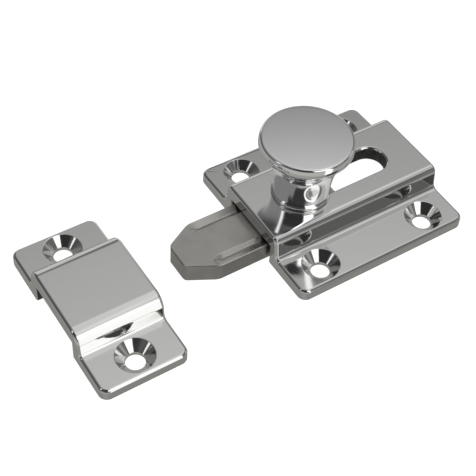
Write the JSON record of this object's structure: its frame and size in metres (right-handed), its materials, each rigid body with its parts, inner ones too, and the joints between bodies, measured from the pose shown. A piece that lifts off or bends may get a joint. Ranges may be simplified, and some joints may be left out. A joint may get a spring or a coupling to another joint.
{
  "type": "toggle bolt latch",
  "caption": "Surface-fixed sliding bolt worked by a mushroom knob in a slotted cast case, with a separate bridge strike.",
  "frame": {"origin": "middle of the case's four screw holes, on the face that meets the door", "axes": "+X the way the knob is drawn back, so the bolt is thrown towards -X; +Z out of the door; +Y across the bolt"},
  "size_m": [0.0918, 0.0426, 0.0252],
  "materials": {
    "case_chrome": "polished chrome plate",
    "strike_chrome": "polished chrome plate",
    "knob_chrome": "mirror chrome plate",
    "bolt_satin": "satin",
    "screw_steel": "bright zinc plate",
    "spring_steel": "blued spring steel",
    "sleeve_brass": "turned",
    "washer_nylon": "natural nylon"
  },
  "bodies": {
    "case": {"latch_case": "case_chrome"},
    "bolt_set": {"sliding_bolt": "bolt_satin", "knob": "knob_chrome", "knob_screw": "screw_steel", "slot_sleeve": "sleeve_brass", "slide_washer": "washer_nylon", "friction_spring": "spring_steel"},
    "strike": {"strike": "strike_chrome"}
  },
  "joints": [
    {"name": "bolt_throw", "type": "slide", "parent": "case", "child": "bolt_set", "axis": [1, 0, 0], "range_m": [0, 0.0186]},
    {"name": "strike_approach", "type": "slide", "parent": "case", "child": "strike", "axis": [1, 0, 0], "range_m": [0, 0.0248]}
  ]
}
